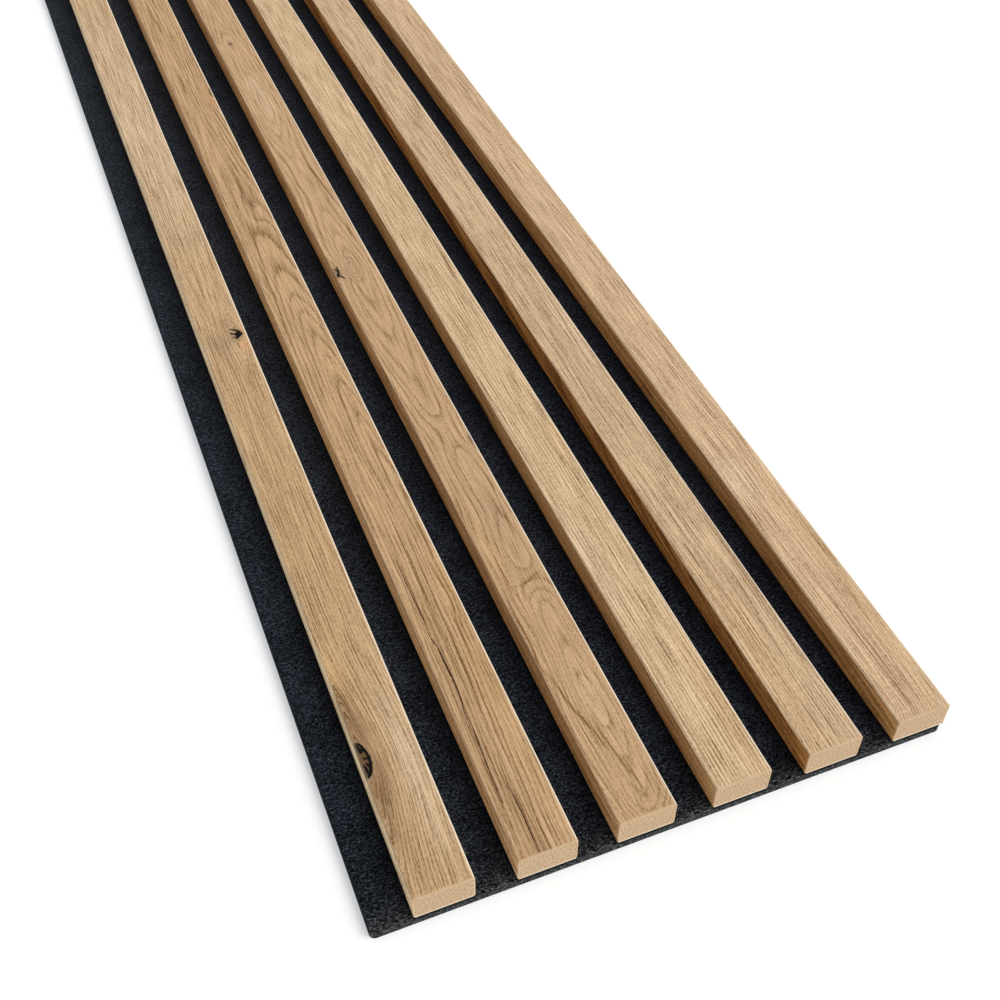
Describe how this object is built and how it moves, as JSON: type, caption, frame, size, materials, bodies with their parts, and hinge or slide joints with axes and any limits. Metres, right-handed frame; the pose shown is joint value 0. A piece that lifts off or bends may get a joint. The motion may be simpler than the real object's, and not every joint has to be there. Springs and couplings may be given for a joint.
{
  "type": "slat wall panel",
  "caption": "Acoustic wall panel: wood-veneered fibreboard slats, evenly spaced and stapled to a black felt backing board that absorbs sound.",
  "frame": {"origin": "middle of the felt board's back face, which goes against the wall", "axes": "+X across the slats, from the felt margin on the left to the flush right edge; +Y along the slats; +Z from the wall to the slats' front faces"},
  "size_m": [0.3, 2.4, 0.022],
  "materials": {
    "black_felt": "pressed polyester felt, matt, slightly fibrous",
    "oak_veneer": "brushed and matt-oiled rustic oak, open pores, grain along the slat",
    "fibreboard": "raw sawn fibreboard, fine speckle",
    "staple_wire": "galvanised flat wire"
  },
  "bodies": {
    "root": {"backing_felt": "black_felt", "backing_staples": "staple_wire", "slat_1_core": "fibreboard", "slat_2_core": "fibreboard", "slat_3_core": "fibreboard", "slat_4_core": "fibreboard", "slat_5_core": "fibreboard", "slat_6_core": "fibreboard", "slat_1_veneer": "oak_veneer", "slat_2_veneer": "oak_veneer", "slat_3_veneer": "oak_veneer", "slat_4_veneer": "oak_veneer", "slat_5_veneer": "oak_veneer", "slat_6_veneer": "oak_veneer"}
  },
  "joints": []
}
